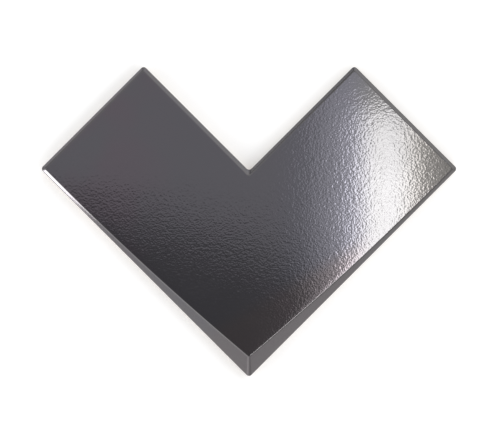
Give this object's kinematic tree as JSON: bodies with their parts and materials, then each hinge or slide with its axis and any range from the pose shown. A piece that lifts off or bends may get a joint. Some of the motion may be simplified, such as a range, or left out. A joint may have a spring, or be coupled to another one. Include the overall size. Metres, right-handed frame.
{
  "type": "decorative tile",
  "caption": "Glazed ceramic wall tile shaped as a broad chevron, with a flat face that curves up to a raised tip, sloping pressed edges and a grooved back.",
  "frame": {"origin": "middle of the tile's outline, on the plane of its back", "axes": "+Z out of the glazed face, -Y towards the tip, +X across the two arms, with Y the line of symmetry"},
  "size_m": [0.1404, 0.1048, 0.0119],
  "materials": {
    "metallic_glaze": "dark pewter metallic glaze with a fine orange-peel surface, satin gloss"
  },
  "bodies": {
    "root": {"chevron_tile": "metallic_glaze"}
  },
  "joints": []
}
